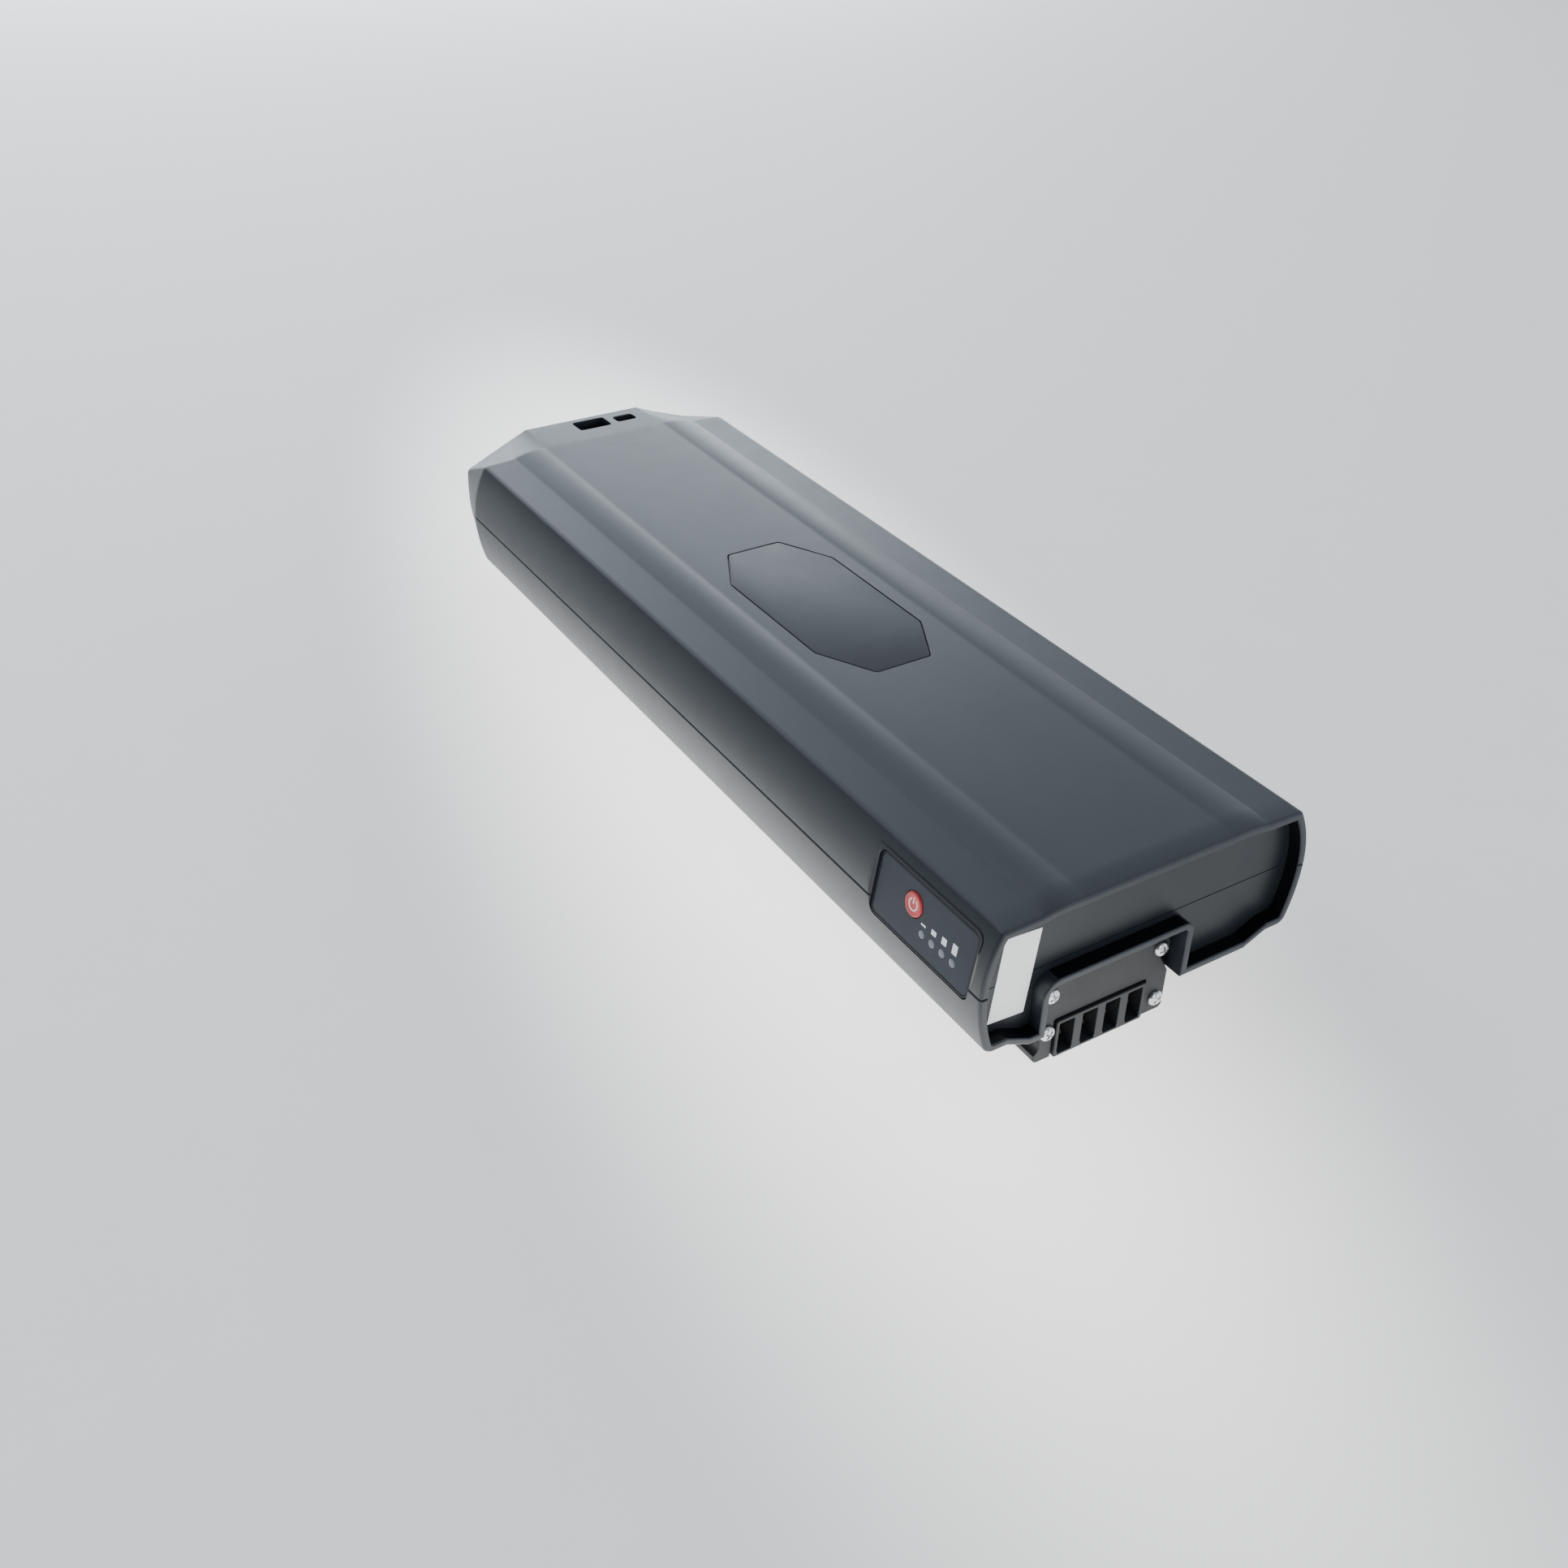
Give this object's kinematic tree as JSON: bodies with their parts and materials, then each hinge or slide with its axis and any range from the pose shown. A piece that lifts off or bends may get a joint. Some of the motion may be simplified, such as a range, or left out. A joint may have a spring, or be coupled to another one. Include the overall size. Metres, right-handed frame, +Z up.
{
  "type": "e-bike rack battery",
  "caption": "Rear-rack e-bike battery pack with split plastic case, tapered nose with lock slots, power panel with push button, dock connector and slide rail.",
  "frame": {"origin": "centre of the plan, on the slide rail's underside", "axes": "+X to the right as seen from the connector end, +Y from the connector end to the tapered nose, +Z up, out of the top shell"},
  "size_m": [0.13, 0.394, 0.0677],
  "materials": {
    "shell_plastic": "fine moulded grain, dark blue-grey",
    "lower_plastic": "fine moulded grain, darker",
    "gasket_rubber": "soft black",
    "badge_plastic": "smooth, bare",
    "bezel_plastic": "satin",
    "membrane_film": "satin film with white charge bars",
    "button_plastic": "red with a white power mark",
    "switch_plastic": "black",
    "board_green": "green solder mask",
    "led_body": "white",
    "screw_steel": "zinc plated",
    "lens_clear": "frosted clear",
    "connector_plastic": "satin black",
    "block_plastic": "satin black",
    "contact_brass": "plated spring brass",
    "lead_red": "red silicone",
    "lead_black": "black silicone",
    "label_film": "white film, blank",
    "rail_plastic": "satin black",
    "cell_wrap": "shrink wrap",
    "frame_plastic": "black",
    "nickel": "bright nickel",
    "sheet_paper": "insulating board",
    "foam": "dark foam",
    "heatsink_alloy": "extruded",
    "fet_plastic": "moulded black",
    "terminal_plastic": "green"
  },
  "bodies": {
    "case": {"top_shell": "shell_plastic", "bottom_shell": "lower_plastic", "seam_gasket": "gasket_rubber", "badge_plate": "badge_plastic", "panel_bezel": "bezel_plastic", "panel_membrane": "membrane_film", "switch_body": "switch_plastic", "panel_board": "board_green", "bms_board": "board_green", "status_leds": "led_body", "board_screws": "screw_steel", "plate_screws": "screw_steel", "rail_screws": "screw_steel", "case_screws": "screw_steel", "lens_1": "lens_clear", "lens_2": "lens_clear", "lens_3": "lens_clear", "lens_4": "lens_clear", "connector_plate": "connector_plastic", "connector_housing": "connector_plastic", "slot_block": "block_plastic", "terminal_1": "contact_brass", "terminal_2": "contact_brass", "terminal_3": "contact_brass", "terminal_4": "contact_brass", "lead_1": "lead_red", "lead_3": "lead_red", "lead_2": "lead_black", "lead_4": "lead_black", "inspection_label": "label_film", "slide_rail": "rail_plastic", "cells_1": "cell_wrap", "cells_2": "cell_wrap", "cells_3": "cell_wrap", "cells_4": "cell_wrap", "cells_5": "cell_wrap", "cell_frames_1": "frame_plastic", "cell_frames_2": "frame_plastic", "cell_frames_3": "frame_plastic", "cell_frames_4": "frame_plastic", "cell_frames_5": "frame_plastic", "nickel_strips_1": "nickel", "nickel_strips_2": "nickel", "nickel_strips_3": "nickel", "nickel_strips_4": "nickel", "nickel_strips_5": "nickel", "insulator_1": "sheet_paper", "insulator_2": "sheet_paper", "insulator_3": "sheet_paper", "insulator_4": "sheet_paper", "foam_base": "foam", "foam_top": "foam", "foam_end": "foam", "bms_tape": "foam", "bms_heatsink": "heatsink_alloy", "bms_switches": "fet_plastic", "bms_terminals": "terminal_plastic"},
    "button": {"power_button": "button_plastic", "switch_plunger": "switch_plastic"}
  },
  "joints": [
    {"name": "button_press", "type": "slide", "parent": "case", "child": "button", "axis": [0.9859, 0, -0.1673], "range_m": [0, 0.0006], "stiffness_N_per_m": 600}
  ]
}
